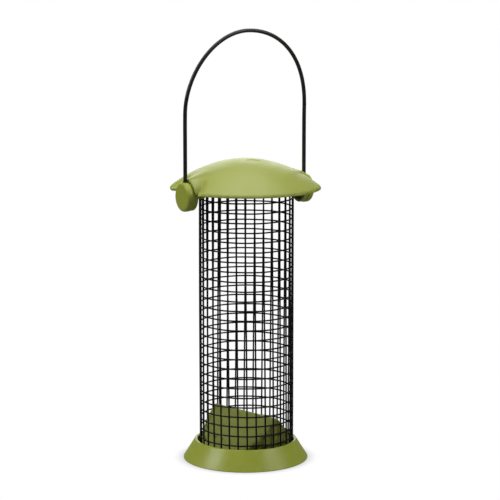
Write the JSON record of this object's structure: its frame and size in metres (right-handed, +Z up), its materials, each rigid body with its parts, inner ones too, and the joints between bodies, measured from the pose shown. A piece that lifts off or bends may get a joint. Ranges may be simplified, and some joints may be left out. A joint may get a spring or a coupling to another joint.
{
  "type": "hanging bird feeder",
  "caption": "Hanging seed feeder: a black welded-wire tube on a green conical foot, under a green dome lid with side knobs and a swinging black wire bail.",
  "frame": {"origin": "middle of the foot's underside, on the tube's axis", "axes": "+Z up along the tube, X along the bail's pivot axis with the right knob at +X"},
  "size_m": [0.0968, 0.1004, 0.2895],
  "materials": {
    "green_plastic_lid": "satin",
    "green_plastic_foot": "satin",
    "black_coated_mesh": "satin coating",
    "black_coated_wire": "satin coating"
  },
  "bodies": {
    "feeder_body": {"base_foot": "green_plastic_foot", "seed_divider": "green_plastic_foot", "mesh_uprights": "black_coated_mesh", "mesh_hoops": "black_coated_mesh", "top_collar": "green_plastic_foot"},
    "bail": {"handle_wire": "black_coated_wire", "knob_left": "green_plastic_foot", "knob_right": "green_plastic_foot"},
    "lid": {"lid": "green_plastic_lid"}
  },
  "joints": [
    {"name": "bail_swing", "type": "hinge", "parent": "feeder_body", "child": "bail", "pos_m": [0, 0, 0.181], "axis": [1, 0, 0], "range_deg": [-45, 45]},
    {"name": "lid_lift", "type": "slide", "parent": "feeder_body", "child": "lid", "axis": [0, 0, 1], "range_m": [0, 0.045]}
  ]
}
